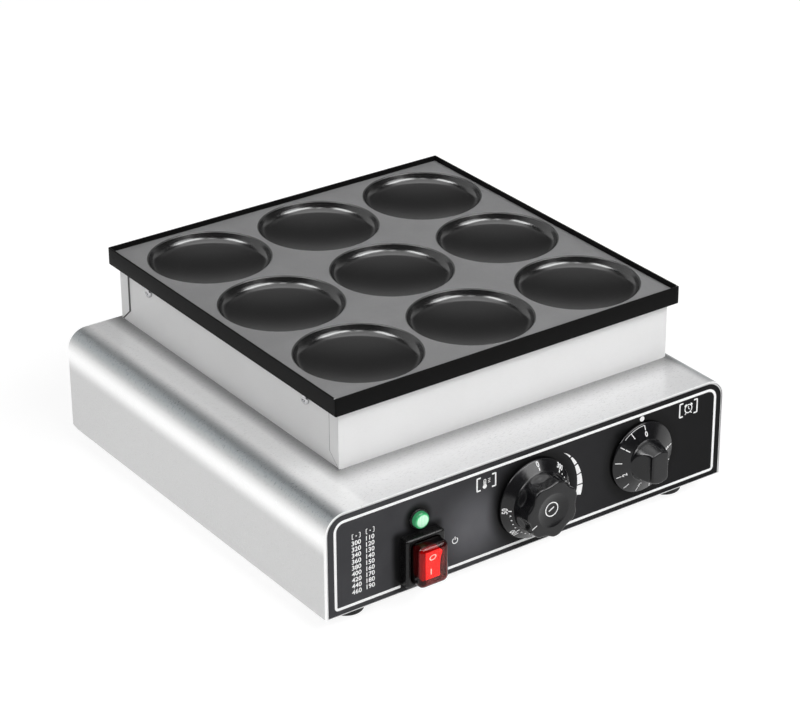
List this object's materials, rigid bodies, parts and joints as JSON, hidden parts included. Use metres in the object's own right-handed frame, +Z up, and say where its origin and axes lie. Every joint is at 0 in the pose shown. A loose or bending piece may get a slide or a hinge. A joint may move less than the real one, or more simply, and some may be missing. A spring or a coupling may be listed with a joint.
{
  "type": "mini pancake maker",
  "caption": "Countertop electric pancake griddle: sheet steel base with two dials, a rocker switch and a lamp, under a square cast plate with round dished hollows.",
  "frame": {"origin": "on the table, under the middle of the base casing and of the whole object's box", "axes": "+Z up, the control panel faces -Y, +X to the right of a person who faces the panel"},
  "size_m": [0.342, 0.3816, 0.1475],
  "materials": {
    "brushed_casing": "brushed along the width, satin",
    "brushed_housing": "brushed, satin",
    "label_gloss": "glossy printed film",
    "label_print": "white print",
    "screw_steel": "bright zinc plated",
    "foot_rubber": "matt black",
    "nonstick_plate": "cast aluminium with a dark non-stick coat",
    "heater_sheath": "heat-stained steel tube",
    "ceramic": "fired ceramic, off-white",
    "shield_aluminium": "mill finish",
    "insulation_wool": "pressed mineral wool",
    "copper": "bare copper",
    "zinc_plate": "zinc plated steel case",
    "brass_contact": "bare brass",
    "knob_gloss": "glossy black",
    "black_nylon": "moulded black, satin",
    "boot_red": "clear red silicone",
    "rocker_red": "lit red",
    "lens_green": "clear green",
    "lead_brown": "silicone sleeve",
    "lead_blue": "silicone sleeve",
    "lead_green": "silicone sleeve"
  },
  "bodies": {
    "base": {"casing_wrapper": "brushed_casing", "front_panel": "brushed_casing", "panel_label": "label_gloss", "panel_print": "label_print", "rear_panel": "brushed_casing", "bottom_plate": "brushed_casing", "base_screws": "screw_steel", "rubber_feet": "foot_rubber", "foot_screws": "screw_steel", "foot_nuts": "screw_steel", "housing_front": "brushed_housing", "housing_rear": "brushed_housing", "housing_left": "brushed_housing", "housing_right": "brushed_housing", "housing_screws": "screw_steel", "griddle_plate": "nonstick_plate", "plate_side_screws": "screw_steel", "heating_element": "heater_sheath", "terminal_insulators": "ceramic", "clamp_bars": "screw_steel", "plate_studs": "screw_steel", "stud_nuts": "screw_steel", "heat_shield": "shield_aluminium", "insulation_pad": "insulation_wool", "sensor_bulb": "copper", "capillary_tube": "copper", "sensor_clip": "screw_steel", "sensor_clip_screw": "screw_steel", "thermostat_body": "ceramic", "thermostat_screws": "screw_steel", "timer_body": "zinc_plate", "timer_screws": "screw_steel", "switch_base": "black_nylon", "switch_terminals": "brass_contact", "switch_boot": "boot_red", "lamp_bezel": "black_nylon", "lamp_lens": "lens_green", "lamp_nut": "black_nylon", "terminal_block": "ceramic", "terminal_screws": "screw_steel", "earth_stud": "brass_contact", "cord_gland": "black_nylon", "gland_cap": "black_nylon", "gland_locknut": "black_nylon", "live_leads": "lead_brown", "neutral_leads": "lead_blue", "earth_lead": "lead_green"},
    "thermostat_dial": {"thermostat_shaft": "screw_steel", "thermostat_knob": "knob_gloss"},
    "timer_dial": {"timer_shaft": "screw_steel", "timer_knob": "knob_gloss"},
    "rocker": {"switch_rocker": "rocker_red"}
  },
  "joints": [
    {"name": "thermostat_turn", "type": "hinge", "parent": "base", "child": "thermostat_dial", "pos_m": [0.0003, -0.168, 0.0494], "axis": [0, 1, 0], "range_deg": [0, 315]},
    {"name": "timer_turn", "type": "hinge", "parent": "base", "child": "timer_dial", "pos_m": [0.0958, -0.168, 0.0506], "axis": [0, 1, 0], "range_deg": [0, 277]},
    {"name": "rocker_tilt", "type": "hinge", "parent": "base", "child": "rocker", "pos_m": [-0.0954, -0.1695, 0.0374], "axis": [-1, 0, 0], "range_deg": [0, 16]}
  ]
}
